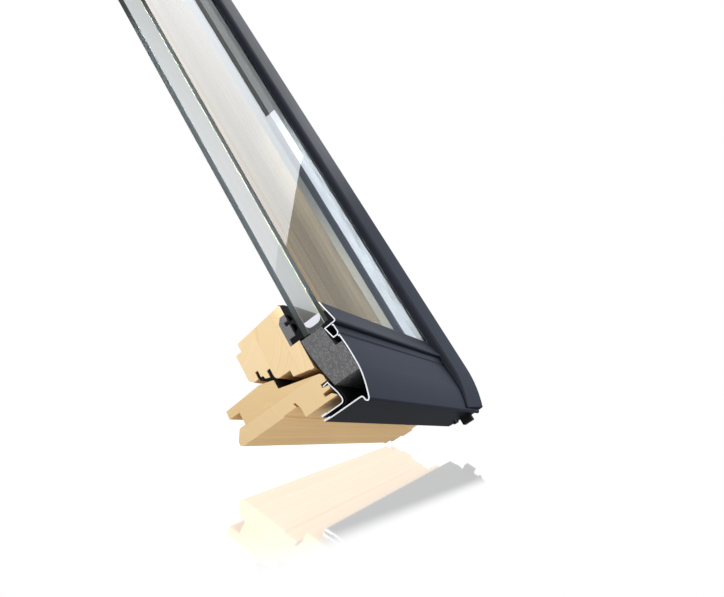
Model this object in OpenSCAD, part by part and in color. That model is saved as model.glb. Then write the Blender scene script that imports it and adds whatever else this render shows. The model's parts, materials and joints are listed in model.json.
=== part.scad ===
// Half of a timber roof window, cut on its centre line and set at the pitch of the roof.
// Inside the modules the window lies flat: x runs out from the cut, s up the slope and n towards the sky.
// s = 0 is the glass's lower edge, and outlines of cross sections are lists of [n, s] or [x, n] points.

/* [Window] */
// Half of the frame's outer width, from the cut to the outside of the jamb
half_width = 330; // [300:1:670]
// Outer height of the frame, measured up the slope
frame_height = 1398; // [1180:1:1780]
// Pitch of the window above the horizontal, in degrees
roof_pitch = 58.5; // [15:0.5:85]
// Height of the pivot above the glass's lower edge
pivot_s = 700; // [600:1:760]

/* [Glass] */
// Thickness of the pane on the room side
inner_glass = 5; // [3:0.5:8]
// Width of the sealed cavity between the panes
cavity = 14.6; // [10:0.1:16]
// Thickness of the pane on the sky side
outer_glass = 4; // [3:0.5:6]

/* [Cladding] */
// Thickness of the aluminium sheets
sheet_t = 1; // [0.7:0.1:1.2]
// Height of the side cover's outer edge above the timber datum
side_cover_n = 51.4; // [50:0.1:56]

/* [Hidden] */
$fn = 32;
// Timber frame
sill_s = -43.3;                        // underside of the bottom rail
foot_s = -52.8;                        // lowest edge of the frame
head_s = foot_s + frame_height;        // top of the frame
room_n = -76;                          // room side of the frame
sky_n = 15;                            // sky side of the frame
jamb_x = half_width - 20.5;            // inner face of the jamb
rebate_x = half_width - 10.5;          // wall of the jamb's rebate
rebate_n = -26;                        // floor of the rebate
head_in_s = head_s - 46;               // inner face of the head rail
fingers = [[-60, -46, 8], [-33, -19, 4]];  // corner tenons: from n, to n, how far each stands out
// Sash
sash_x = jamb_x - 2;                   // outer face of the stile
sash_top = head_in_s - 4;              // top face of the top rail
glass_x = sash_x - 9.5;                // edge of the glass at the side
glass_top = sash_top - 9.5;            // edge of the glass at the top
edge_gap = 0.4;                        // glass edge inside its datum
pane_n = 14.2;                         // room face of the inner pane
cavity_n = pane_n + inner_glass;
outer_pane_n = cavity_n + cavity;
glass_n = outer_pane_n + outer_glass;  // sky face of the outer pane
timber_in = 35;                        // how far the timber reaches inside the glass edge
// Covers
cover_end_s = pivot_s - 57;            // top end of the sash's side cover
foot_end_s = -67;                      // lower end of the side cover
cover_out_x = half_width + 6;          // outer edge of the covers
cover_in_x = glass_x - 19.6;           // inner edge of the side cover on the glass
// Pivot
pivot_n = 0;
pin_r = 5;
plate_t = 3;
// Control bar and bolt
flap_top = sash_top - 8;
flap_h = 42;
bolt_s = sash_top - 105;
bolt_n = -55;
bolt_r = 4;
// Point of the model that sits at the origin: on the underside of the bottom rail
ref = [half_width / 2, sill_s, -53];

cladding = [0.255, 0.27, 0.31];
rubber = [0.06, 0.06, 0.065];
pine = [0.88, 0.74, 0.53];
metal = [0.75, 0.76, 0.77];

// ---- Placing and drawing ----

module on_roof() rotate([roof_pitch, 0, 0]) translate(-ref) children();

// An [n, s] section drawn out from x0 to x1
module along_x(x0, x1, outline)
    translate([x0, 0, 0]) rotate([90, 0, 90]) linear_extrude(x1 - x0)
        polygon([for (p = outline) [p[1], p[0]]]);

// An [x, n] section drawn up the slope from s0 to s1
module along_s(s0, s1, outline)
    translate([0, s1, 0]) rotate([90, 0, 0]) linear_extrude(s1 - s0) polygon(outline);

// An [x, s] shape drawn through the window from n0 to n1
module along_n(n0, n1, outline)
    translate([0, 0, n0]) linear_extrude(n1 - n0) polygon(outline);

module block(lo, hi) translate(lo) cube(hi - lo);

// A round bar across the window
module rod_x(x0, x1, s, n, r)
    translate([x0, s, n]) rotate([0, 90, 0]) cylinder(h = x1 - x0, r = r);

// A countersunk screw let into a face that looks towards +x or -x
module screw_x(x, s, n, len, dir)
    translate([x, s, n]) rotate([0, -90 * dir, 0]) {
        cylinder(h = 1.7, r1 = 3.2, r2 = 1.6);
        cylinder(h = len, r = 1.6);
    }

// Round stretch of an outline from a to c, pulled towards b
function curve(a, b, c, k = 6) =
    [for (i = [0:k]) let (t = i / k) a * pow(1 - t, 2) + 2 * b * t * (1 - t) + c * t * t];

function unit(v) = v / norm(v);
function turned(v) = [-v[1], v[0]];
function backwards(p) = [for (i = [len(p) - 1:-1:0]) p[i]];

// A path moved sideways by d, with mitred corners
function shifted(p, d) = [for (i = [0:len(p) - 1])
    let (a = unit(i == 0 ? p[1] - p[0] : p[i] - p[i - 1]),
         b = i == len(p) - 1 ? a : unit(p[i + 1] - p[i]),
         m = unit(turned(a) + turned(b)))
    p[i] + m * d / max(0.5, m * turned(a))];

// Outline of a sheet of thickness t, with its face on the path
function sheet(p, t = sheet_t) = concat(p, backwards(shifted(p, t)));

// Outline given as [n, distance inside the glass edge], moved to the bottom, side or top
function at_bottom(o) = [for (p = o) [p[0], p[1]]];
function at_side(o) = [for (p = o) [glass_x - p[1], p[0]]];
function at_top(o) = [for (p = o) [p[0], glass_top - p[1]]];

reach = 60;  // how far a mitre runs past the glass edge
deep = 250;  // how far it runs into the glass

module bottom_mitre()
    along_n(-200, 200, [[-1, -reach], [glass_x + reach, -reach], [glass_x - deep, deep], [-1, deep]]);
module top_mitre()
    along_n(-200, 200, [[-1, glass_top + reach], [-1, glass_top - deep],
                        [glass_x - deep, glass_top - deep], [glass_x + reach, glass_top + reach]]);
module side_mitre()
    along_n(-200, 200, [[glass_x + reach, -reach], [glass_x + reach, glass_top + reach],
                        [glass_x - deep, glass_top - deep], [glass_x - deep, deep]]);

// Profiles that run along the glass's bottom, side and top edges and meet in mitred corners
module bottom_leg(outline) intersection() {
    along_x(0, glass_x + reach, at_bottom(outline));
    bottom_mitre();
}
module side_and_top_legs(outline) {
    intersection() {
        along_s(-reach, glass_top + reach, at_side(outline));
        side_mitre();
    }
    intersection() {
        along_x(0, glass_x + reach, at_top(outline));
        top_mitre();
    }
}
module around_glass(outline) {
    bottom_leg(outline);
    side_and_top_legs(outline);
}

// ---- Frame ----

bottom_rail_section = [
    [-74, -11.7], [-38, -9.8], [-27.5, -12.8], [-25.4, -13.6], [-25.2, -21.5], [10.6, -31.2],
    [12.4, -33.5], [12.6, -38.6], [7, -38.6], [7, -41.9], [12.6, -42.5], [12.7, -44],
    [12, -45.3], [5.3, -45.8], [5.3, -48.8], [11.6, -49.2], [15.2, foot_s], [-16, foot_s],
    [-16, -45], [-18.4, -38.8], [-20.2, -38.8], [-19, -42.2], [-31, -42.2], [-32, sill_s],
    [-74, sill_s], [room_n, -41.5], [room_n, -38.3], [-70, -29.7], [-64, -29.7],
    [-64, -18.7], [-74.3, -18.7]];

// The corner tenons of a rail between s0 and s1
module tenons(s0, s1)
    for (f = fingers) block([jamb_x - 1, s0, f[0]], [half_width + f[2], s1, f[1]]);

module frame_bottom_rail() color(pine) on_roof() {
    difference() {
        along_x(0, rebate_x, bottom_rail_section);
        block([jamb_x, -60, room_n - 5], [rebate_x + 1, 0, rebate_n]);
    }
    intersection() {
        along_x(0, half_width + 9, bottom_rail_section);
        tenons(sill_s - 1, -12.9);
    }
}

module frame_side_jamb() color(pine) on_roof() difference() {
    along_s(foot_s, head_s, [
        [jamb_x, rebate_n], [jamb_x, room_n + 2], [jamb_x + 2, room_n],
        [jamb_x + 6.5, room_n], [jamb_x + 6.5, -66], [jamb_x + 14.5, -66],
        [jamb_x + 14.5, room_n + 4], [half_width - 2, room_n + 4], [half_width, room_n + 6],
        [half_width, sky_n], [rebate_x, sky_n], [rebate_x, rebate_n]]);
    block([0, foot_s - 1, room_n - 1], [half_width + 1, sill_s, -16]);
    for (f = fingers) {
        block([0, foot_s - 1, f[0]], [half_width + 1, -12.9, f[1]]);
        block([0, head_in_s + 4, f[0]], [half_width + 1, head_s + 1, f[1]]);
    }
    // the bottom rail's sky side and the bolt's bush are let into it
    block([jamb_x - 1, foot_s - 1, rebate_n - 1], [rebate_x, -9, sky_n + 1]);
    rod_x(jamb_x - 1, jamb_x + 13, bolt_s, bolt_n, bolt_r + 2);
    // recess for the sill cover
    block([jamb_x - 1, foot_s - 1, 5], [half_width + 1, -38.4, sky_n + 1]);
}

module frame_head_rail() color(pine) on_roof() {
    difference() {
        along_x(0, rebate_x, [
            [room_n + 2, head_in_s], [sky_n, head_in_s], [sky_n, head_s], [room_n + 4, head_s],
            [room_n, head_s - 3], [room_n, head_s - 14], [-66, head_s - 14],
            [-66, head_s - 25], [room_n, head_s - 25], [room_n, head_in_s + 2]]);
        block([jamb_x, head_in_s - 1, room_n - 1], [rebate_x + 1, head_s + 1, rebate_n]);
        block([6, head_in_s - 1, -31], [46, head_in_s + 2, -11]);
        // groove of the head gasket
        block([-1, head_in_s - 1, 7], [rebate_x + 1, head_in_s + 5, 9]);
    }
    for (f = fingers)
        block([jamb_x - 1, head_in_s + 4, f[0]], [half_width, head_s, f[1]]);
}

module frame_bottom_cover() color(cladding) on_roof() {
    face = concat([[7.8, -40.8], [13, -39.8], [14, -43.5], [15, -46.5], [16.5, -51]],
                  curve([17.2, -55.5], [17.8, -60.6], [13.5, -60.6]), [[-4.4, -60.6]]);
    along_x(0, half_width + 4, sheet(face, -0.9));
    along_x(0, half_width + 4, [[-4.4, -60.6], [0.5, -60.6], [0.2, -59], [-4.4, -59]]);
}

module jamb_flashing() color(cladding) on_roof()
    along_s(-38, pivot_s - 31, sheet(concat(
        [[rebate_x + 0.5, sky_n + 0.3], [rebate_x + 0.5, sky_n + 1.3]],
        curve([cover_out_x - 1.5, sky_n + 1.3], [cover_out_x + 1, sky_n + 1.3],
              [cover_out_x + 1, sky_n - 2]), [[cover_out_x + 1, -8]]), -sheet_t));

module frame_side_cover() color(cladding) on_roof()
    along_s(pivot_s - 30, head_s - 2, sheet(concat(
        [[jamb_x + 0.3, sky_n + 0.3]],
        curve([jamb_x + 0.3, 20], [jamb_x + 0.3, 22], [jamb_x + 2.5, 22]),
        curve([cover_out_x - 2, 22], [cover_out_x + 1, 22], [cover_out_x + 1, 18]),
        [[cover_out_x + 1, -8]]), -sheet_t));

top_cover_path = concat(
    [[44.2, sash_top - 28]], curve([46.4, sash_top - 26], [48.4, sash_top - 22], [48.8, sash_top - 10]),
    curve([48.8, head_s - 14], [48.4, head_s + 4], [32, head_s + 4]), [[-8, head_s + 4]]);

module frame_top_cover() color(cladding) on_roof()
    along_x(0, cover_out_x + 3, sheet(top_cover_path, sheet_t));

module top_cover_end() color(cladding) on_roof() difference() {
    along_x(cover_out_x + 3, cover_out_x + 4.2, concat(top_cover_path, [[-8, head_s - 6],
        [18, head_in_s - 4], [30, sash_top - 26]]));
}

module top_cover_brackets() color(rubber) on_roof()
    for (x = [24, half_width - 60])
        along_x(x, x + 26, [[sky_n, head_in_s + 4], [sky_n, head_s - 4], [30, head_s + 2],
            [40, head_s - 2], [46, head_s - 16], [46.5, head_in_s + 2], [40, head_in_s + 2],
            [36, head_in_s + 12]]);

module upper_side_stop() color(cladding) on_roof()
    along_s(pivot_s + 60, head_in_s, [
        [jamb_x, rebate_n], [rebate_x, rebate_n], [rebate_x, sky_n - 0.5],
        [glass_x + 5.2, sky_n - 0.5], [glass_x + 5.2, sky_n - 3.4], [jamb_x, sky_n - 3.4]]);

module upper_stop_gasket() color(rubber) on_roof()
    along_s(pivot_s + 60, head_in_s - 8, concat(
        [[sash_x - 0.2, sky_n - 3.4]],
        curve([sash_x - 0.2, 10.6], [glass_x + 7.4, 8.6], [glass_x + 5.6, 10.6]),
        [[glass_x + 5.6, sky_n - 3.4]]));

module head_gasket() color(rubber) on_roof()
    along_x(0, glass_x + 5, concat(
        [[7.2, head_in_s + 4.6], [7.2, head_in_s]],
        curve([9.8, head_in_s - 2], [9.8, sash_top - 2.6], [11, sash_top - 2.6]),
        [[12.8, sash_top - 2.4], [13.4, head_in_s], [8.8, head_in_s], [8.8, head_in_s + 4.6]]));

module hinge_frame_plate() color(metal) on_roof() difference() {
    union() {
        block([rebate_x - plate_t, pivot_s - 28, -24], [rebate_x, pivot_s + 28, 12]);
        rod_x(jamb_x, rebate_x - plate_t, pivot_s, pivot_n, 9);
    }
    rod_x(jamb_x - 1, rebate_x + 1, pivot_s, pivot_n, pin_r + 0.05);
    for (d = [-19, 19])
        rod_x(rebate_x - plate_t - 1, rebate_x + 1, pivot_s + d, pivot_n - 6, 1.7);
}

module frame_plate_screws() color(metal) on_roof()
    for (d = [-19, 19]) translate([rebate_x - plate_t - 1.6, pivot_s + d, pivot_n - 6])
        rotate([0, 90, 0]) {
            cylinder(h = 1.6, r1 = 2, r2 = 3.4);
            cylinder(h = plate_t + 1.6, r = 1.6);
        }

module bolt_bush() color(rubber) on_roof() difference() {
    rod_x(jamb_x + 0.2, jamb_x + 13, bolt_s, bolt_n, bolt_r + 2);
    rod_x(jamb_x - 1, jamb_x + 12, bolt_s, bolt_n, bolt_r + 0.4);
}

module strike_plate() color(metal) on_roof() difference() {
    block([6, head_in_s + 0.1, -31], [46, head_in_s + 2, -11]);
    block([18, head_in_s - 1, -24], [34, head_in_s + 3, -18]);
}

// ---- Sash timber and glass ----

// Inner face of the sash's section and the rebate for the glass: [n, distance inside the glass edge]
inner_face = [[-38.8, 29.8], [7.5, timber_in]];
rebate = [[8.5, 26], [3.8, 26], [0.2, 21.5], [0.2, 0.7], [9.2, 0.7]];
room_edge = [[-44.6, 22.2], [-38.8, 22.2]];
// The stile and the head rise under the glass in a sloping rim, where the bottom rail stays flat
stile_section = concat(
    inner_face, [[8.2, timber_in - 0.4], [13.2, 22.6], [13.2, 21.9], [8.5, 21.9]], rebate,
    [[9.2, -9.5], [-41.5, -9.5], [-44.6, -6]], room_edge);
sash_rail_section = concat(inner_face, [[8.5, timber_in - 0.5]], rebate, [
    [9.2, -24.6], [5.8, -24.6], [5.8, -24], [-9.3, -20.5], [-9.3, -14.8], [-20.5, -14.8],
    [-22.5, -13.5], [-23.6, -11], [-23.6, -3.6], [-26.9, -3.6], [-26.9, -9.8], [-31, -8.3],
    [-31.5, -5.3], [-33.7, -5.3], [-33.7, 1], [-36.4, 1], [-36.4, -5.3], [-41.5, -5.3],
    [-44.6, -2]], room_edge);

// The stile's share of the corners: mitred inside the glass edge, square outside it
module stile_share()
    along_n(-60, 20, [
        [glass_x - 60, 60], [glass_x, 0], [sash_x + 1, 0], [sash_x + 1, glass_top],
        [glass_x, glass_top], [glass_x - 60, glass_top - 60]]);

module sash_bottom_rail() color(pine) on_roof() difference() {
    along_x(0, sash_x, at_bottom(sash_rail_section));
    stile_share();
}

module sash_side_stile() color(pine) on_roof() difference() {
    intersection() {
        along_s(0, glass_top, at_side(stile_section));
        stile_share();
    }
    block([sash_x - plate_t, pivot_s - 45, -16], [sash_x + 1, pivot_s + 45, 8]);
    rod_x(sash_x - plate_t - 6, sash_x + 1, pivot_s, pivot_n, pin_r + 0.1);
}

module sash_top_rail() color(pine) on_roof() difference() {
    along_x(0, sash_x, at_top(stile_section));
    stile_share();
    block([12, flap_top - 34, -46], [glass_x - 48, flap_top - 12, -32]);
    block([6, sash_top - 12, -31], [46, sash_top + 1, -11]);
}

module pane(n0, n1)
    block([0, edge_gap, n0], [glass_x - edge_gap, glass_top - edge_gap, n1]);

module inner_pane() color([0.66, 0.74, 0.74, 0.35]) on_roof() pane(pane_n, cavity_n);
module outer_pane() color([0.66, 0.74, 0.74, 0.35]) on_roof() pane(outer_pane_n, glass_n);

spacer_section = concat(
    [[cavity_n, 9.8], [cavity_n, 7]],
    curve([cavity_n, 7], [cavity_n + 1.4, 3.6], [cavity_n + 5, 3.4]),
    curve([outer_pane_n - 5, 3.4], [outer_pane_n - 1.4, 3.6], [outer_pane_n, 7]),
    [[outer_pane_n, 9.8]]);

module glass_spacer() color([0.92, 0.92, 0.94]) on_roof() around_glass(spacer_section);

module glass_edge_seal() color([0.25, 0.26, 0.27]) on_roof() around_glass(concat(
    [[cavity_n, edge_gap], [outer_pane_n, edge_gap], [outer_pane_n, 7]],
    backwards(curve([outer_pane_n - 5, 3.4], [outer_pane_n - 1.4, 3.6], [outer_pane_n, 7])),
    backwards(curve([cavity_n, 7], [cavity_n + 1.4, 3.6], [cavity_n + 5, 3.4]))));

module gasket_carrier() color([0.36, 0.36, 0.37]) on_roof() around_glass([
    [0.2, 0.9], [0.2, 21.4], [3.9, 26], [8.3, 26], [8.3, 20.4], [4.6, 20.4], [4.6, 16.6],
    [8.3, 16.6], [8.3, 6.2], [2.6, 6.2], [2.6, 0.9]]);

// The gasket has a broad lip along the bottom and stops under the glass at the side and the top
module glazing_gasket() color(rubber) on_roof() difference() {
    union() {
        bottom_leg(concat(
            [[8.5, timber_in - 0.3], [7.6, timber_in + 0.1], [7.5, timber_in + 1.1]],
            curve([9.4, 34.4], [12.6, 33], [pane_n, 30.2]),
            [[pane_n, 0.9], [2.6, 0.9], [2.6, 6.2], [8.5, 6.2]]));
        side_and_top_legs([[8.5, 21.7], [12, 21.5], [pane_n, 20.6], [pane_n, 0.9], [2.6, 0.9],
                           [2.6, 6.2], [8.5, 6.2]]);
    }
    around_glass(concat(curve([9.7, 8.2], [13, 8.4], [13, 12]), curve([13, 12], [12.6, 15.8], [9.7, 15.6])));
    bottom_leg(concat([[9.7, 18]], curve([13, 18.4], [13.2, 22], [9.7, 24.6])));
}

// ---- Bottom of the sash ----

liner_path = concat(
    [[9.3, -0.8], [9.6, -10], [12.6, -30], [16.2, -45.6], [18.4, -53.5]],
    curve([18.7, -57], [18.5, -60.6], [16.6, -61.5]), [[13.2, -62.6]]);
liner_t = 0.7;

module drip_liner() color(rubber) on_roof() along_x(0, glass_x, sheet(liner_path, liner_t));

module insulation_block() color([0.45, 0.45, 0.46]) on_roof() {
    inner = shifted(liner_path, liner_t);
    along_x(0, glass_x - 2, [
        inner[0], inner[1], inner[2], inner[3], [40, -45.6], [40, -35], [39.2, -20.3],
        [32.8, -19.8], [31.4, -8.7], [30.7, -0.8]]);
}

module draught_seal() color(rubber) on_roof() along_x(0, sash_x, [
    [-35.7, -0.2], [-34.4, -0.2], [-34.4, -6], [-32.2, -6], [-31.3, -8.8], [-27, -10.4],
    [-25.9, -10.2], [-25.9, -4.2], [-24.6, -4.2], [-24.3, -11.4], [-23.4, -14], [-23.9, -21],
    [-24.9, -21], [-24.9, -12.2], [-27, -11.7], [-31.8, -10.2], [-33.2, -7.2], [-35.7, -7.2]]);

// Front of the bottom cover: its distance from the timber datum at a height s
function front_n(s) = s > -35 ? 41.4 - 1.2 * pow((s + 35) / 20, 2)
                              : 41.4 - 4.3 * pow(max(0, (-43 - s) / 22), 1.6);

module sash_bottom_cover() color(cladding) on_roof() {
    front = [for (s = [-14.4, -18, -24, -30, -36, -43, -47, -51, -55, -59, -63, -66])
        [front_n(s), s]];
    along_x(0, half_width + 4, sheet(concat(
        [[38.4, -14.4]], front, curve([36, -68.4], [33.4, -71.8], [31.6, -68]),
        curve([31.5, -66.6], [31.4, -64.8], [29.6, -64.8]), [[2.6, -64.8], [-4.4, -64.2]]),
        -sheet_t));
    along_x(0, half_width + 4, [[-4.4, -64.2], [1.6, -64.7], [1.4, -63.1], [-4.4, -62.8]]);
}

module bottom_cover_screw() color(metal) on_roof()
    translate([half_width - 6, -64.8, 8]) rotate([90, 0, 0]) cylinder(h = 2.6, r = 3.2);

module cover_end_plug() color(rubber) on_roof()
    block([half_width - 8, -73.5, 14], [half_width + 4, -64.8, 26]);

cap_end_x = cover_in_x - 2.2;

module glazing_cap() color(cladding) on_roof()
    along_x(0, cap_end_x, sheet(concat(
        [[glass_n + 1.1, 17], [40.2, 10.6], [41.4, 5.2], [43.1, -2]],
        [[42.6, -3.4], [41.6, -3.8], [32.6, -4.2], [34.9, -13.2], [38.4, -13.2], [39.4, -11.8],
         [39, -5.5], [38.2, -5.3]]), -0.9));

module cap_end() color(rubber) on_roof()
    along_x(cap_end_x, cap_end_x + 2, concat(
        [[glass_n + 0.1, 14], [39.6, 12.6], [43.1, -2]], curve([42.6, -3.4], [42, -13.4], [35, -13.4]),
        [[32.6, -4.2], [glass_n + 0.1, -4]]));

module cap_seal() color(rubber) on_roof()
    along_x(0, cap_end_x, [[31.4, -0.2], [glass_n, -0.2], [glass_n, 8.5], [39, 8.5], [41.5, -1.8],
                           [40.8, -2.6], [31.4, -3.1]]);

// ---- Side covers ----

// How far the side cover bends down towards its foot
function bend(s) = 8 * pow(max(0, (-20 - s) / 46), 2);
// Height of the side cover's inner edge: on the glass, and above the bottom cover over it
function inner_edge(s) = s > -12 ? glass_n + 0.5 : front_n(max(s, -66)) + 0.9;

// Face of the side cover at the height s, from the glass out and down the outside
function side_face(s) = let (e = inner_edge(s), b = bend(s), o = side_cover_n) concat(
    [[cover_in_x, e]],
    curve([cover_in_x + 1.2, max(e + 0.6, o - 9 - b)], [cover_in_x + 3.4, o - 3.6 - b],
          [cover_in_x + 12, o - 3.6 - b], 5),
    [[cover_in_x + 23, o - 2.4 - b]],
    curve([cover_out_x - 8, o - b], [cover_out_x, o - b], [cover_out_x, o - 8 - b], 5),
    [[cover_out_x, 24 - b * 0.3]]);

// A skin drawn through rings that all have the same number of points
module skin(rings) {
    k = len(rings[0]);
    m = len(rings);
    polyhedron(
        points = [for (r = rings) each r],
        faces = concat(
            [[for (i = [0:k - 1]) i]],
            [for (j = [0:m - 2], i = [0:k - 1]) let (a = j * k + i, b = j * k + (i + 1) % k)
                each [[a, a + k, b], [b, a + k, b + k]]],
            [[for (i = [k - 1:-1:0]) (m - 1) * k + i]]),
        convexity = 6);
}

module sash_side_cover() color(cladding) on_roof()
    skin([for (s = [foot_end_s, -64, -60, -55, -50, -44, -38, -32, -26, -20, -12.1, -11.9, cover_end_s])
        [for (p = sheet(side_face(s), -sheet_t)) [p[0], s, p[1]]]]);

// Space inside the side cover's section at s, down to the depth n
function side_fill(s, n) = concat(
    [for (p = shifted(side_face(s), -sheet_t)) if (p[1] > n) p],
    [[cover_out_x - sheet_t, n], [cover_in_x + sheet_t + 0.6, n]]);

module side_cover_foot() color(cladding) on_roof()
    along_s(foot_end_s + 0.4, foot_end_s + 1.6, side_fill(foot_end_s + 0.4, front_n(-65) + 0.4));

module side_cover_head() color(rubber) on_roof()
    along_s(cover_end_s - 4, cover_end_s - 0.5, side_fill(cover_end_s, glass_n + 0.1));

module side_glazing_cap() color(cladding) on_roof() intersection() {
    along_s(cover_end_s + 1, glass_top + 2, at_side(sheet(concat(
        [[glass_n + 1.2, 19.4]], curve([41, 16], [42, 15], [42, 12]),
        [[42, -4.4], [16, -4.4]]), -sheet_t)));
    side_mitre();
}

module top_glazing_cap() color(cladding) on_roof() intersection() {
    along_x(0, glass_x + reach, at_top(sheet(concat(
        [[glass_n + 1.2, 19.4]], curve([41, 16], [42, 15], [42, 12]),
        [[42, -2], [16, -2]]), -sheet_t)));
    top_mitre();
}

module lower_side_stop() color(pine) on_roof()
    along_s(-9, pivot_s - 44, [[sash_x, -22], [rebate_x - 1.5, -22], [rebate_x - 1.5, 7],
                                [rebate_x - 3.5, 9], [sash_x, 9]]);

module side_stop_gasket() color(rubber) on_roof()
    along_s(-9, pivot_s - 44, concat(
        [[jamb_x + 1, -22], [jamb_x + 1, -23.6]],
        curve([jamb_x + 1.4, -24.4], [jamb_x + 4.5, -26.4], [jamb_x + 7.4, -24.2]),
        [[jamb_x + 7.6, -22]]));

// ---- Pivot, lock, control bar and bolt ----

module hinge_sash_plate() color(metal) on_roof() difference() {
    block([sash_x - plate_t, pivot_s - 45, -16], [sash_x, pivot_s + 45, 8]);
    rod_x(sash_x - plate_t - 1, sash_x + 1, pivot_s, pivot_n, pin_r);
    for (d = [-36, -20, 20, 36])
        translate([sash_x, pivot_s + d, -4]) rotate([0, -90, 0]) {
            cylinder(h = 1.8, r1 = 3.4, r2 = 1.8);
            cylinder(h = plate_t + 1, r = 1.8);
        }
}

module pivot_pin() color(metal) on_roof() {
    rod_x(sash_x - plate_t - 6, rebate_x - 0.6, pivot_s, pivot_n, pin_r);
}

module sash_plate_screws() color(metal) on_roof()
    for (d = [-36, -20, 20, 36]) screw_x(sash_x - 0.1, pivot_s + d, -4, plate_t - 0.1, 1);

module lock_case() color(metal) on_roof() difference() {
    block([6, sash_top - 12, -31], [46, sash_top, -11]);
    block([18, sash_top - 8, -24], [34, sash_top + 1, -18]);
}

module air_filter() color([0.85, 0.85, 0.82]) on_roof()
    block([14, flap_top - 33, -42], [glass_x - 50, flap_top - 13, -34]);

flap_axis_n = -48.5;
bar_x1 = glass_x - 42;

// Saddle blocks on the top rail in which the flap's hinge rod turns
module bar_bearings() color(rubber) on_roof() difference() {
    for (x = [1, bar_x1 + 1]) block([x, flap_top - 4, flap_axis_n - 5], [x + 9, flap_top + 6, -44.6]);
    rod_x(-1, bar_x1 + 20, flap_top, flap_axis_n, 2.1);
}

module vent_flap() color(metal) on_roof() {
    rod_x(0, bar_x1 + 12, flap_top, flap_axis_n, 2);
    block([11, flap_top - flap_h, flap_axis_n - 1.4], [bar_x1 - 1, flap_top, flap_axis_n + 1.4]);
}

bar_n = flap_axis_n - 24;
bar_s = flap_top - 27;

module control_bar() color(metal) on_roof()
    along_x(0, bar_x1 - 1, concat(
        curve([bar_n - 6, bar_s], [bar_n - 6, bar_s + 12], [bar_n + 1, bar_s + 12]),
        curve([bar_n + 2, bar_s + 12], [bar_n + 6, bar_s + 11], [bar_n + 6, bar_s + 7]),
        curve([bar_n + 6, bar_s - 7], [bar_n + 6, bar_s - 11], [bar_n + 2, bar_s - 12]),
        curve([bar_n + 1, bar_s - 12], [bar_n - 6, bar_s - 12], [bar_n - 6, bar_s - 0.5])));

module bar_brackets() color(rubber) on_roof()
    for (x = [40, bar_x1 - 45])
        block([x, bar_s - 6, bar_n + 6], [x + 14, bar_s + 6, flap_axis_n - 1.4]);

module bolt_housing() color(metal) on_roof() difference() {
    block([sash_x - 32, bolt_s - 9, bolt_n - 7], [sash_x - 4, bolt_s + 9, -44.6]);
    rod_x(sash_x - 33, sash_x, bolt_s, bolt_n, bolt_r + 0.05);
    block([sash_x - 29, bolt_s - 2.2, bolt_n - 9], [sash_x - 10, bolt_s + 2.2, bolt_n]);
}

module barrel_bolt() color(metal) on_roof() rod_x(sash_x - 32, sash_x - 1, bolt_s, bolt_n, bolt_r);

module bolt_knob() color(metal) on_roof()
    translate([sash_x - 26, bolt_s, bolt_n - bolt_r]) mirror([0, 0, 1]) {
        cylinder(h = 6, r = 1.8);
        translate([0, 0, 5]) cylinder(h = 6, r = 4);
    }

frame_bottom_rail();
frame_side_jamb();
frame_head_rail();
frame_bottom_cover();
jamb_flashing();
frame_side_cover();
frame_top_cover();
top_cover_end();
top_cover_brackets();
upper_side_stop();
upper_stop_gasket();
head_gasket();
hinge_frame_plate();
frame_plate_screws();
bolt_bush();
strike_plate();
sash_bottom_rail();
sash_side_stile();
sash_top_rail();
inner_pane();
outer_pane();
glass_spacer();
glass_edge_seal();
gasket_carrier();
glazing_gasket();
insulation_block();
drip_liner();
draught_seal();
sash_bottom_cover();
bottom_cover_screw();
cover_end_plug();
glazing_cap();
cap_end();
cap_seal();
sash_side_cover();
side_cover_foot();
side_cover_head();
side_glazing_cap();
top_glazing_cap();
lower_side_stop();
side_stop_gasket();
hinge_sash_plate();
pivot_pin();
sash_plate_screws();
lock_case();
bolt_housing();
bar_bearings();
air_filter();
vent_flap();
control_bar();
bar_brackets();
barrel_bolt();
bolt_knob();
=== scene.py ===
"""Half of a timber roof window, cut on its centre line: finishes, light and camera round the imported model."""

import json
import math

import bpy
from mathutils import Matrix, Vector

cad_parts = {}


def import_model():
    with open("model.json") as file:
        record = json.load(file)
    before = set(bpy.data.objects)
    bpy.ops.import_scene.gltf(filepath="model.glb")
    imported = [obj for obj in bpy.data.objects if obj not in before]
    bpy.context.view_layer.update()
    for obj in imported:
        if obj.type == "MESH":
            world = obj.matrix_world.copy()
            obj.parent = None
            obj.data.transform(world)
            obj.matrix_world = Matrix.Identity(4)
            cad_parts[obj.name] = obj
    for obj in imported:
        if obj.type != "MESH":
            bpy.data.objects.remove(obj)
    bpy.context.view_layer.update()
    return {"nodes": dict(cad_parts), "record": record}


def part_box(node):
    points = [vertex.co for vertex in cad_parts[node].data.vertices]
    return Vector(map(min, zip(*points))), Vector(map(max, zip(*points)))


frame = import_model()
NODES = frame["nodes"]
MM = 0.001

# ---- The window's own axes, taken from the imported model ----
# x runs out from the cut, s up the slope and n towards the sky; s = 0 and n = 0 are the section's datum.
PITCH = math.radians(58.5)
ACROSS = Vector((1, 0, 0))
UP_SLOPE = Vector((0, math.cos(PITCH), math.sin(PITCH)))
SKYWARD = Vector((0, -math.sin(PITCH), math.cos(PITCH)))
# Lower edge and upper face of the outer pane, from the datum.
PANE_EDGE, PANE_FACE = 0.4 * MM, 37.8 * MM
CUT_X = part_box("outer_pane")[0].x


def reach(node, axis):
    """Lowest and highest place of a node's points along an axis."""
    along = [Vector(v.co).dot(axis) for v in NODES[node].data.vertices]
    return min(along), max(along)


S0 = reach("outer_pane", UP_SLOPE)[0] - PANE_EDGE
N0 = reach("outer_pane", SKYWARD)[1] - PANE_FACE


def at(x, s, n):
    """Point of the model at x, s, n, given in millimetres from the section's datum."""
    return ACROSS * (CUT_X + x * MM) + UP_SLOPE * (S0 + s * MM) + SKYWARD * (N0 + n * MM)


# ---- Shader expressions ----

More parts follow.
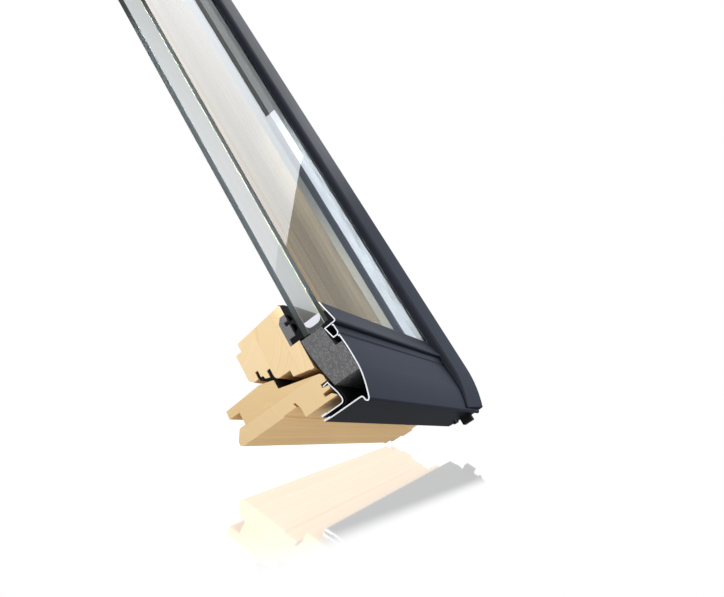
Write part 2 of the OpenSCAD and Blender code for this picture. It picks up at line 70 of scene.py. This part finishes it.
WHITE = (1, 1, 1)


class Sock:
    """A socket that can stand in arithmetic; every operation adds its Math node."""

    def __init__(self, tree, socket):
        self.tree, self.socket = tree, socket

    def math(self, operation, *values, clamp=False):
        settings = dict(operation=operation, use_clamp=clamp)
        return self.tree.new("ShaderNodeMath", settings, dict(enumerate((self, *values)))).out()

    def __add__(self, other):
        return self.math("ADD", other)

    def __sub__(self, other):
        return self.math("SUBTRACT", other)

    def __rsub__(self, other):
        return self.tree.value(other).math("SUBTRACT", self)

    def __mul__(self, other):
        return self.math("MULTIPLY", other)

    def __pow__(self, other):
        return self.math("POWER", other)

    def __lt__(self, other):
        return self.math("LESS_THAN", other)

    def __gt__(self, other):
        return self.math("GREATER_THAN", other)

    __radd__, __rmul__ = __add__, __mul__

    def size(self):
        """The value without its sign."""
        return self.math("ABSOLUTE")

    def clip(self):
        """The value kept between 0 and 1."""
        return self.math("ADD", 0.0, clamp=True)

    def step(self, low, high):
        """0 below low and 1 above high, with a smooth rise between them."""
        return self.tree.new("ShaderNodeMapRange", dict(interpolation_type="SMOOTHSTEP"),
                             {"Value": self, "From Min": low, "From Max": high}).out("Result")


class Node:
    """A node whose outputs can stand in arithmetic."""

    def __init__(self, tree, node):
        self.tree, self.node = tree, node

    def out(self, name=0):
        return Sock(self.tree, self.node.outputs[name])


def rgba(colour):
    """What a colour socket takes: a link as it is, or three numbers with full cover."""
    return colour if isinstance(colour, Sock) else (*colour, 1)


class Tree:
    """The nodes of one material or world."""

    def __init__(self, owner):
        owner.use_nodes = True
        self.nodes, self.links = owner.node_tree.nodes, owner.node_tree.links
        self.nodes.clear()

    def new(self, kind, settings=None, sockets=None):
        """Adds a node: its settings first, then values or links for its sockets."""
        node = self.nodes.new(kind)
        for name, value in (settings or {}).items():
            setattr(node, name, value)
        for name, value in (sockets or {}).items():
            if isinstance(value, Sock):
                self.links.new(value.socket, node.inputs[name])
            else:
                node.inputs[name].default_value = value
        return Node(self, node)

    def value(self, number):
        node = self.new("ShaderNodeValue")
        node.node.outputs[0].default_value = number
        return node.out()

    def mix(self, factor, a, b):
        """A colour between a and b."""
        return self.new("ShaderNodeMix", dict(data_type="RGBA"), {0: factor, 6: rgba(a), 7: rgba(b)}).out(2)

    def blend(self, factor, a, b):
        """A shader between a and b."""
        return self.new("ShaderNodeMixShader", None, {0: factor, 1: a, 2: b}).out()

    def emission(self, colour, strength):
        return self.new("ShaderNodeEmission", None, {"Color": rgba(colour), "Strength": strength}).out()

    def glossy(self, colour, rough):
        return self.new("ShaderNodeBsdfGlossy", None, {"Color": rgba(colour), "Roughness": rough}).out()

    def clear(self, colour):
        return self.new("ShaderNodeBsdfTransparent", None, {"Color": rgba(colour)}).out()

    def slant(self):
        """0 where a surface faces the eye, rising to 1 where it is seen edge on."""
        return self.new("ShaderNodeLayerWeight", None, {"Blend": 0.5}).out("Facing")

    def noise(self, vector, scale=1.0, detail=3.0, rough=0.5, warp=0.0):
        return self.new("ShaderNodeTexNoise", None, {"Vector": vector, "Scale": scale, "Detail": detail,
                                                     "Roughness": rough, "Distortion": warp}).out("Fac")

    def dot(self, vector, axis):
        product = self.new("ShaderNodeVectorMath", dict(operation="DOT_PRODUCT"), {0: vector, 1: axis})
        return product.out("Value")

    def vector(self, x, y, z):
        return self.new("ShaderNodeCombineXYZ", None, {0: x, 1: y, 2: z}).out()

    def split(self, vector):
        node = self.new("ShaderNodeSeparateXYZ", None, {0: vector})
        return [node.out(i) for i in range(3)]


class Finish(Tree):
    """A material with one Principled shader and the window's own coordinates in millimetres."""

    # Depth of the sawn face, in mm from the cut.
    SAWN_DEPTH = 0.25

    def __init__(self, name, **constants):
        self.material = bpy.data.materials.new(name)
        super().__init__(self.material)
        skin = self.new("ShaderNodeBsdfPrincipled", None,
                        {key.replace("_", " "): number for key, number in constants.items()})
        self.skin, self.shader = skin.node, skin.out()
        self.end = self.new("ShaderNodeOutputMaterial", None, {"Surface": self.shader}).node
        places = self.new("ShaderNodeTexCoord")
        self.facing = places.out("Normal")
        self.x, self.s, self.n = ((self.dot(places.out("Object"), axis) - zero) * (1 / MM)
                                  for axis, zero in ((ACROSS, CUT_X), (UP_SLOPE, S0), (SKYWARD, N0)))

    def set(self, socket, value):
        self.links.new(value.socket, self.skin.inputs[socket])

    def bump(self, height, distance, strength):
        """Relief of the given height in millimetres."""
        relief = self.new("ShaderNodeBump", None, {"Height": height, "Distance": distance * MM,
                                                   "Strength": strength})
        self.set("Normal", relief.out())

    def sawn(self):
        """1 on the faces of the centre cut, 0 elsewhere."""
        return self.x < self.SAWN_DEPTH

    def point(self, x_scale=1.0, s_scale=1.0, n_scale=1.0):
        return self.vector(self.x * x_scale, self.s * s_scale, self.n * n_scale)


# ---- Timber ----

PALE_PINE, RIPE_PINE, LATE_WOOD = (0.76, 0.53, 0.27), (0.64, 0.41, 0.18), (0.47, 0.25, 0.09)
END_PINE, END_LATE = (0.80, 0.59, 0.33), (0.66, 0.44, 0.21)
PALE_LAMELLA, GLUE = (0.93, 0.78, 0.52), (0.42, 0.24, 0.10)
GLUE_HALF = 0.12
# Painted shade: the faces of the stile and the top rail along the grain are made darker and cooler, as they lie
# under the glass.
STILE_PAINTED_SHADE = (0.63, 0.68, 0.77)
# The lip under the glass edge takes painted light and shade: a pale tone brightened as painted light low down,
# darkening into painted shade up the slope between two heights.
LIP_PLACES, LIP_PAINTED_LIGHT, LIP_PAINTED_SHADE = (120, 300), (1.0, 0.88, 0.68), (0.30, 0.28, 0.23)
# How far the growth rings' centre moves from one lamella to the next.
LAMELLA_SHIFT = (37.0, 21.0)


def tinted(colour, tone):
    return tuple(a * b for a, b in zip(colour, tone))


def pine(name, grain, glue_lines, pith, end_tone=WHITE, side_tone=WHITE, rim=None):
    """Laminated, lacquered pine. grain is the axis of the fibres, glue_lines the places of the glue
    lines across the section, and pith where the growth rings' centre lies. The tones tint the sawn
    end and the faces along the grain, and above rim the lip under the glass edge takes painted light low down
    and painted shade up the slope."""
    m = Finish(name, IOR=1.46, Coat_Weight=0.25, Coat_Roughness=0.22)
    along, across = (m.x, m.s) if grain == "x" else (m.s, m.x)
    depth = {"w": across, "n": m.n}
    lamella = m.value(0.0)
    for axis, place in glue_lines:
        lamella = lamella + (depth[axis] > place)

    wander = m.noise(m.vector(along * 0.002, across * 0.03, m.n * 0.03), detail=2.0) - 0.5
    u = across - pith[0] + lamella * LAMELLA_SHIFT[0] + wander * 16.0
    v = m.n - pith[1] - lamella * LAMELLA_SHIFT[1]
    radius = (u * u + v * v) ** 0.5 + wander * 10.0
    rings_per_mm = m.noise(m.vector(radius * 0.08, lamella * 3.0, 0.0), detail=1.0) * 0.8 + 0.28
    ring = (radius * rings_per_mm).math("FRACT")
    late = ring.step(0.25, 0.92) * (1 - ring.step(0.94, 1.0))

    fibre = m.noise(m.vector(along * 0.012, across * 2.2, m.n * 2.2), detail=4.0, rough=0.6)
    streak = m.noise(m.vector(along * 0.004, across * 0.22, m.n * 0.22), detail=3.0, rough=0.55)
    shade = m.mix((streak * 1.8 - 0.45).clip(), tinted(PALE_PINE, side_tone), tinted(RIPE_PINE, side_tone))
    shade = m.mix((late * 0.5 + (fibre - 0.5) * 0.6).clip(), shade, tinted(LATE_WOOD, side_tone))
    if grain == "x":
        pores = m.noise(m.point(2.0, 2.0, 2.0), detail=3.0, rough=0.6)
        end = m.mix((late * 0.36 + (pores - 0.5) * 0.3).clip(),
                    tinted(END_PINE, end_tone), tinted(END_LATE, end_tone))
        shade = m.mix(m.sawn(), shade, end)
    own_tint = m.noise(m.vector(lamella * 7.3 + 2.0, 0.5, 0.5), detail=0.0)
    shade = m.mix(((own_tint - 0.5) * 0.9).size(), shade, PALE_LAMELLA)
    for axis, place in glue_lines:
        shade = m.mix(((depth[axis] - place).size() < GLUE_HALF) * 0.35, shade, GLUE)
    if rim is not None:
        # Painted light and shade: above rim the lip is pale low down and darkens up the slope.
        shade = m.mix((m.n > rim) * 0.95, shade, m.mix(m.s.step(*LIP_PLACES), LIP_PAINTED_LIGHT, LIP_PAINTED_SHADE))
    m.set("Base Color", shade)
    m.set("Roughness", m.sawn() * 0.22 + 0.40 + (fibre - 0.5) * 0.2)
    m.bump(fibre * 0.5 + late * 0.5, 0.06, 0.6)
    return m.material


# ---- Metal, plastics and rubber ----

SAWN_METAL = (0.78, 0.80, 0.84)
DARK_PAINT, LIGHT_PAINT = (0.0095, 0.0114, 0.0190), (0.0122, 0.0142, 0.0240)
DARK_RUBBER, BLOOMED_RUBBER = (0.004, 0.004, 0.005), (0.016, 0.016, 0.018)
FOAM_DARK, FOAM_FLECK, FOAM_JOINT = (0.050, 0.050, 0.052), (0.27, 0.27, 0.275), (0.05, 0.05, 0.052)
PLASTIC_DARK, PLASTIC_FLECK = (0.06, 0.06, 0.065), (0.27, 0.27, 0.28)
SPACER_DULL, SPACER_BRIGHT, DESICCANT = (0.90, 0.88, 0.81), (0.98, 0.96, 0.92), (0.62, 0.62, 0.67)
WET_DARK, WET_LIGHT, SEALANT_PALE = (0.050, 0.060, 0.062), (0.075, 0.088, 0.09), (0.60, 0.61, 0.63)
FLEECE_DARK, FLEECE_PALE = (0.45, 0.45, 0.42), (0.82, 0.82, 0.78)


def cladding():
    """Dark grey satin paint on aluminium sheet; the saw has laid the bright metal bare."""
    m = Finish("painted_aluminium", IOR=1.56)
    cloud = m.noise(m.point(), scale=0.012)
    grit = m.noise(m.point(), scale=2.4, detail=2.0, rough=0.6)
    m.set("Base Color", m.mix(m.sawn(), m.mix(cloud, DARK_PAINT, LIGHT_PAINT), SAWN_METAL))
    m.set("Roughness", grit * 0.10 + 0.28)
    m.bump(grit, 0.012, 0.5)
    return m.material


def rubber():
    """Black rubber with a faint grey bloom."""
    m = Finish("black_rubber", IOR=1.5)
    grain = m.noise(m.point(), scale=1.6, detail=4.0, rough=0.65)
    bloom = m.noise(m.point(0.3, 0.3, 0.3), scale=0.15, detail=2.0)
    m.set("Base Color", m.mix((grain * bloom * 1.4).clip(), DARK_RUBBER, BLOOMED_RUBBER))
    m.set("Roughness", grain * 0.25 + 0.48)
    m.bump(grain, 0.04, 0.5)
    return m.material


def bead_foam():
    """Grey expanded foam: pressed beads with darker joints and pale flecks."""
    m = Finish("bead_foam", Roughness=0.9)
    beads = {"Vector": m.point(), "Scale": 0.80, "Randomness": 0.9}
    cells = m.new("ShaderNodeTexVoronoi", dict(feature="F1"), beads)
    edges = m.new("ShaderNodeTexVoronoi", dict(feature="DISTANCE_TO_EDGE"), beads)
    bead = m.split(cells.out("Color"))[0]
    joint = 1 - edges.out("Distance").step(0.02, 0.16)
    speck = m.noise(m.point(), scale=1.7, detail=4.0, rough=0.75)
    shade = m.mix((bead * 0.40 + speck * 1.7 - 0.57).clip(), FOAM_DARK, FOAM_FLECK)
    m.set("Base Color", m.mix(joint * 0.4, shade, FOAM_JOINT))
    m.bump(speck + joint * -0.6, 0.25, 0.7)
    return m.material


def speckled_plastic():
    """Grey plastic with flecks of its regrind."""
    m = Finish("speckled_plastic", Roughness=0.7)
    speck = m.noise(m.point(), scale=1.7, detail=4.0, rough=0.75)
    m.set("Base Color", m.mix(speck.step(0.35, 0.68), PLASTIC_DARK, PLASTIC_FLECK))
    m.bump(speck, 0.1, 0.5)
    return m.material


def bright_aluminium():
    """Rolled spacer bar; the desiccant that fills it shows white where it is sawn."""
    m = Finish("bright_aluminium")
    rolled = m.noise(m.point(0.02, 0.01, 0.6))
    m.set("Base Color", m.mix(m.sawn(), m.mix(rolled, SPACER_DULL, SPACER_BRIGHT), DESICCANT))
    m.set("Metallic", (1 - m.sawn()) * 0.45)
    m.set("Roughness", rolled * 0.2 + 0.25)
    return m.material


def sealant():
    """Dark sealant where it is sawn, pale along its own faces."""
    m = Finish("edge_sealant", Roughness=0.6)
    mottle = m.noise(m.point(), scale=0.9)
    m.set("Base Color", m.mix(m.sawn(), SEALANT_PALE, m.mix(mottle, WET_DARK, WET_LIGHT)))
    m.bump(mottle, 0.06, 0.4)
    return m.material


def metal(name, colour, rough):
    """Bare metal with the fine lines of its rolling or drawing."""
    m = Finish(name, Metallic=1.0)
    lines = m.noise(m.point(0.05, 1.2, 1.2), detail=4.0, rough=0.6)
    cloud = m.noise(m.point(), scale=0.05, detail=2.0)
    m.set("Base Color", m.mix(lines * 0.5 + cloud * 0.5, tinted(colour, (0.82, 0.82, 0.82)), colour))
    m.set("Roughness", lines * 0.16 + (rough - 0.08))
    m.bump(lines, 0.01, 0.4)
    return m.material


def fleece():
    """Pale fibre mat of the air filter."""
    m = Finish("filter_fleece", Roughness=0.95)
    fibres = m.noise(m.point(1.2, 1.2, 1.2), detail=5.0, rough=0.8, warp=1.5)
    m.set("Base Color", m.mix(fibres, FLEECE_DARK, FLEECE_PALE))
    m.bump(fibres, 0.5, 0.8)
    return m.material


# ---- Glass ----

CLEAR_UPRIGHT, CLEAR_SLANTING = (0.985, 0.99, 0.987), (0.900, 0.925, 0.945)
# A pane's faces lie within this of square to the sky, as the cosine of the angle; the rest are edges.
FACE_TILT = 0.7
ARRIS_HALF = 0.45
MIRROR_IOR = 1.34
# The painted haze lies on the inner pane's upper face, up to a reach from the cut, and shows at a flat angle as
# a painted reflection. It starts with painted shade at its foot, turns pale over a slanting line, and the pale
# part fades out up the slope.
PAINTED_HAZE_SLANT, PAINTED_HAZE_REACH, PAINTED_HAZE_BED = (0.55, 0.72), 46.0, 17.0
PAINTED_HAZE_FOOT, PAINTED_HAZE_LINE, PAINTED_HAZE_LINE_SLOPE, PAINTED_HAZE_FADE = (26.0, 27.5), (60.0, 61.5), 0.985, (150, 500)
PAINTED_HAZE_SHADE, PAINTED_HAZE_GREY, PAINTED_HAZE_PALE = (0.17, 0.17, 0.155), (0.43, 0.445, 0.45), (0.52, 0.525, 0.53)


def glass(name, edge, arris_highlight, arris_place, sky_face, with_painted_haze=False):
    """Float glass: clear on its faces, grey-blue and closed on its edges, with a painted highlight along one
    arris. The outermost face, the one above sky_face, mirrors. If asked for, the stretch next to the cut
    shows a painted haze at a flat angle: a painted reflection, with painted shade at its foot."""
    m = Finish(name, Roughness=0.35, IOR=1.5)
    cloud = m.noise(m.point(0.5, 0.02, 0.5), detail=2.0)
    shade = m.mix(cloud, tinted(edge, (0.85, 0.85, 0.85)), edge)
    # Painted highlight: a bright line along one arris of the pane's edge.
    m.set("Base Color", m.mix((m.n - arris_place).size() < ARRIS_HALF, shade, arris_highlight))

    slant = m.slant()
    clear = m.blend(slant.step(0.35, 0.8), m.clear(CLEAR_UPRIGHT), m.clear(CLEAR_SLANTING))
    behind = m.new("ShaderNodeNewGeometry").out("Backfacing")
    ior = MIRROR_IOR - behind * (MIRROR_IOR - 1 / MIRROR_IOR)
    shine = m.new("ShaderNodeFresnel", None, {"IOR": ior}).out()
    seen = m.blend(shine * (m.n > sky_face), clear, m.glossy(WHITE, 0.0))
    if with_painted_haze:
        # Painted reflection on the inner pane at a flat angle: grey, pale past a slanting line and fading up
        # the slope, with painted shade at its foot.
        above = (m.s - m.x * PAINTED_HAZE_LINE_SLOPE).step(*PAINTED_HAZE_LINE)
        painted_haze_colour = m.mix(above * (1 - m.s.step(*PAINTED_HAZE_FADE)), PAINTED_HAZE_GREY, PAINTED_HAZE_PALE)
        painted_haze_colour = m.mix(m.s.step(*PAINTED_HAZE_FOOT), PAINTED_HAZE_SHADE, painted_haze_colour)
        painted_haze_shader = m.new("ShaderNodeBsdfPrincipled", None,
                     {"Base Color": painted_haze_colour, "Roughness": 1.0, "Specular IOR Level": 0.0}).out()
        share = slant.step(*PAINTED_HAZE_SLANT) * (m.x < PAINTED_HAZE_REACH) * (m.n > PAINTED_HAZE_BED)
        seen = m.blend(share, seen, painted_haze_shader)
    face = m.dot(m.facing, SKYWARD).size() > FACE_TILT
    m.links.new(m.blend(face, m.shader, seen).socket, m.end.inputs["Surface"])
    return m.material


# ---- Giving each piece its finish ----

FINISHES = {
    "cladding": cladding(),
    "rubber": rubber(),
    "carrier": speckled_plastic(),
    "insulation": bead_foam(),
    "spacer": bright_aluminium(),
    "sealant": sealant(),
    "steel": metal("zinc_steel", (0.66, 0.66, 0.66), 0.34),
    "bar": metal("satin_bar", (0.74, 0.75, 0.76), 0.30),
    "filter": fleece(),
}
STILE_GLUE, STILE_LIP = [("n", -30.0), ("n", -16.0)], 7.6
TIMBER = {
    "frame_bottom_rail": pine("pine_frame_sill", "x", [("w", -30.0)], (-60.0, -95.0),
                              end_tone=(0.91, 0.88, 0.79), side_tone=(1.02, 0.95, 0.81)),
    "frame_head_rail": pine("pine_frame_head", "x", [("w", 1318.0)], (1240.0, -70.0)),
    "frame_side_jamb": pine("pine_jamb", "s", [("n", -34.0)], (420.0, -20.0)),
    "sash_bottom_rail": pine("pine_sash_sill", "x", [("n", -22.0), ("n", -3.0)], (70.0, -70.0),
                             end_tone=(1.01, 1.04, 1.06)),
    "sash_side_stile": pine("pine_stile", "s", STILE_GLUE, (380.0, -60.0), side_tone=STILE_PAINTED_SHADE,
                            rim=STILE_LIP),
    "sash_top_rail": pine("pine_sash_head", "x", STILE_GLUE, (1190.0, -30.0), side_tone=STILE_PAINTED_SHADE,
                          rim=STILE_LIP),
    "lower_side_stop": pine("pine_stop", "s", [], (380.0, -30.0)),
}
GLASS = {
    "inner_pane": glass("inner_glass", edge=(0.050, 0.056, 0.055), arris_highlight=(0.16, 0.17, 0.17),
                        arris_place=19.2, sky_face=100.0, with_painted_haze=True),
    "outer_pane": glass("outer_glass", edge=(0.052, 0.058, 0.060), arris_highlight=(0.52, 0.52, 0.28),
                        arris_place=33.8, sky_face=36.0),
}

for part in frame["record"]["subparts"]:
    name = part["node"]
    finish = TIMBER.get(name) or GLASS.get(name) or FINISHES[part["material_slot"]]
    mesh = NODES[name].data
    mesh.materials.clear()
    mesh.materials.append(finish)

# ---- Floor, light and camera ----

LENS_MM, SENSOR_MM = 35.85, 36.0
EYE = at(0, 0, 0) + Vector((-0.4940, -0.2683, -0.0669))
SIGHT = Vector((0.905, 0.381, 0.186)).normalized()
# The floor rises a little to the right and just misses the far end of the sill.
FLOOR_SLOPE, FLOOR_Z, FLOOR_HALF = (0.0575, 0.0025), -0.0217, 12.0
FLOOR_MIRROR, FLOOR_MIRROR_SHARE, FLOOR_MIRROR_ROUGH = (1.79, 1.84, 1.83), 0.45, 0.035
# Where the floor's mirroring part begins and ends, in m, and the slant at which it is seen.
MIRROR_FRONT, MIRROR_LEFT = (-0.193, -0.173), (-0.45, -0.37)
MIRROR_RIGHT, MIRROR_BACK, MIRROR_SLANT = (0.18, 0.30), (0.4, 0.9), (0.66, 0.79)
# What the floor gives to matt faces, next to the 1.0 that the eye sees.
FLOOR_GLOW = 1.75
# The mirror image of the light card, as x and s on the outer pane in mm, and the card's distance in m.
CARD_FIELD = [(0, 73), (203, 257), (258, 302), (300, 345), (300, 414), (180, 321), (180, 1300), (-150, 1300)]
CARD_FAR, CARD_COLOUR, CARD_GLOW = 2.4, (0.985, 1.03, 1.10), 1.9
# Tints of what polished faces mirror: towards the floor, ahead and overhead.
TINT_LOW, TINT_AHEAD, TINT_HIGH = (0.78, 0.80, 0.68), (0.80, 0.92, 1.15), (0.94, 0.96, 0.96)


def link(obj):
    bpy.context.scene.collection.objects.link(obj)


def camera():
    data = bpy.data.cameras.new("camera")
    data.lens, data.sensor_width, data.sensor_fit = LENS_MM, SENSOR_MM, "HORIZONTAL"
    data.clip_start = 0.01
    eye = bpy.data.objects.new("camera", data)
    right = SIGHT.cross(Vector((0, 0, 1))).normalized()
    up = right.cross(SIGHT)
    eye.matrix_world = Matrix.Translation(EYE) @ Matrix((right, up, -SIGHT)).transposed().to_4x4()
    link(eye)
    bpy.context.scene.camera = eye


def flat_sheet(name, corners):
    """One flat face with a material of its own: the sheet and the material's tree."""
    mesh = bpy.data.meshes.new(name)
    mesh.from_pydata(corners, [], [tuple(range(len(corners)))])
    material = bpy.data.materials.new(name)
    mesh.materials.append(material)
    sheet = bpy.data.objects.new(name, mesh)
    link(sheet)
    return sheet, Tree(material)


def floor():
    """A white floor that mirrors the window's foot at a flat angle, and nothing from higher up."""
    corners = [(x, y, FLOOR_Z + x * FLOOR_SLOPE[0] + y * FLOOR_SLOPE[1])
               for x, y in ((-FLOOR_HALF, -FLOOR_HALF), (FLOOR_HALF, -FLOOR_HALF),
                            (FLOOR_HALF, FLOOR_HALF), (-FLOOR_HALF, FLOOR_HALF))]
    plane, t = flat_sheet("floor", corners)
    x, y, _ = t.split(t.new("ShaderNodeTexCoord").out("Object"))
    near = (y + x * 0.06).step(*MIRROR_FRONT) * x.step(*MIRROR_LEFT)
    near = near * (1 - (x - y).step(*MIRROR_RIGHT)) * (1 - y.step(*MIRROR_BACK))
    glance = near * t.slant().step(*MIRROR_SLANT)
    # The mirroring part gives less light of its own to matt faces.
    matt_ray = t.new("ShaderNodeLightPath").out("Is Diffuse Ray") * (1 - near * 0.9)
    glow = t.blend(matt_ray, t.emission(WHITE, 1.0), t.emission(WHITE, FLOOR_GLOW))
    both = t.blend(glance * FLOOR_MIRROR_SHARE, glow, t.glossy(FLOOR_MIRROR, FLOOR_MIRROR_ROUGH))
    t.new("ShaderNodeOutputMaterial", None, {"Surface": both})
    plane.visible_glossy = False


def world():
    """White to the eye, an even light on matt faces, and to polished ones bright only high up ahead and
    low down behind the window."""
    sky = bpy.data.worlds.new("studio")
    bpy.context.scene.world = sky
    t = Tree(sky)
    x, y, z = t.split(t.new("ShaderNodeTexCoord").out("Generated"))
    path = t.new("ShaderNodeLightPath")
    ahead = x.step(-0.2, 0.8) * (1 - z.step(0.3, 0.6) * 0.5)
    overhead = z.step(0.5, 1.0) * x.step(-0.15, 0.2) * (1 - x.step(0.3, 0.8) * 0.8)
    mirrored_sky = z.step(-0.30, 0.50) * (0.06 + ahead * 0.32 + overhead * 0.5) + 0.03
    behind_window = y.step(0.06, 0.16) * z.step(-0.12, -0.02) * (1 - z.step(0.36, 0.44)) * x.step(0.2, 0.5)
    at_the_back = (1 - y.step(-0.8, -0.45)) + (1 - x.step(-0.9, -0.7)) * (1 - y.step(-0.2, 0.02))
    bright = (behind_window + at_the_back * z.step(-0.02, 0.06) * (1 - z.step(0.22, 0.32))).clip()
    not_low = z.step(-0.35, -0.10)
    low_ahead = (1 - not_low) * x.step(0.2, 0.6)
    mirrored_sky = mirrored_sky + bright * 0.6 + low_ahead * 0.08
    even = 0.85 - x * 0.06 + z * 0.05
    is_glossy = path.out("Is Glossy Ray")
    level = is_glossy * mirrored_sky + (1 - is_glossy) * even
    tint = t.mix(z.step(0.50, 0.64), t.mix(not_low, TINT_LOW, TINT_AHEAD), TINT_HIGH)
    tint = t.mix(is_glossy * (1 - bright), WHITE, tint)
    lit = t.new("ShaderNodeBackground", None, {"Color": tint, "Strength": level}).out()
    seen = t.new("ShaderNodeBackground", None, {"Color": rgba(WHITE), "Strength": 1.0}).out()
    t.new("ShaderNodeOutputWorld", None, {"Surface": t.blend(path.out("Is Camera Ray"), lit, seen)})


def mirrored(point):
    """The point's image in the outer face of the glass."""
    depth = point.dot(SKYWARD) - (N0 + PANE_FACE)
    return point - SKYWARD * (2 * depth)


def haze_card():
    """A softbox beyond the window whose image in the outer pane is a pale field with a slanting edge."""
    eye = mirrored(EYE)
    rays = [at(x, s, PANE_FACE / MM) - eye for x, s in CARD_FIELD]
    card, t = flat_sheet("haze_card", [eye + ray * ((CARD_FAR - eye.x) / ray.x) for ray in rays])
    t.new("ShaderNodeOutputMaterial", None, {"Surface": t.emission(CARD_COLOUR, CARD_GLOW)})
    card.visible_camera = card.visible_diffuse = False


def softbox(name, place, aim, size, power, spread=180.0, long_side=Vector((0, 0, 1)), colour=WHITE):
    """A soft lamp that lights matt faces only and isn't seen itself."""
    light = bpy.data.lights.new(name, "AREA")
    light.shape, light.size, light.size_y, light.energy = "RECTANGLE", size[0], size[1], power
    light.spread, light.color = math.radians(spread), colour
    lamp = bpy.data.objects.new(name, light)
    away = (place - aim).normalized()
    up = (long_side - away * away.dot(long_side)).normalized()
    lamp.matrix_world = Matrix.Translation(place) @ Matrix((up.cross(away), up, away)).transposed().to_4x4()
    lamp.visible_camera = lamp.visible_glossy = False
    link(lamp)


camera()
floor()
world()
haze_card()
softbox("end_light", at(-1300, 250, 300), at(0, 100, 0), size=(1.2, 1.2), power=2.0)
softbox("sky_light", at(165, 650, 1500), at(165, 650, 0), size=(1.0, 1.6), power=12)
# A narrow beam along the gap between the panes.
softbox("cavity_light", at(-350, 195, 26.5), at(290, 195, 26.5), size=(0.012, 0.34), power=0.088,
        spread=8.0, long_side=UP_SLOPE, colour=(0.92, 0.98, 1.10))
bpy.context.scene.view_settings.view_transform = "Standard"
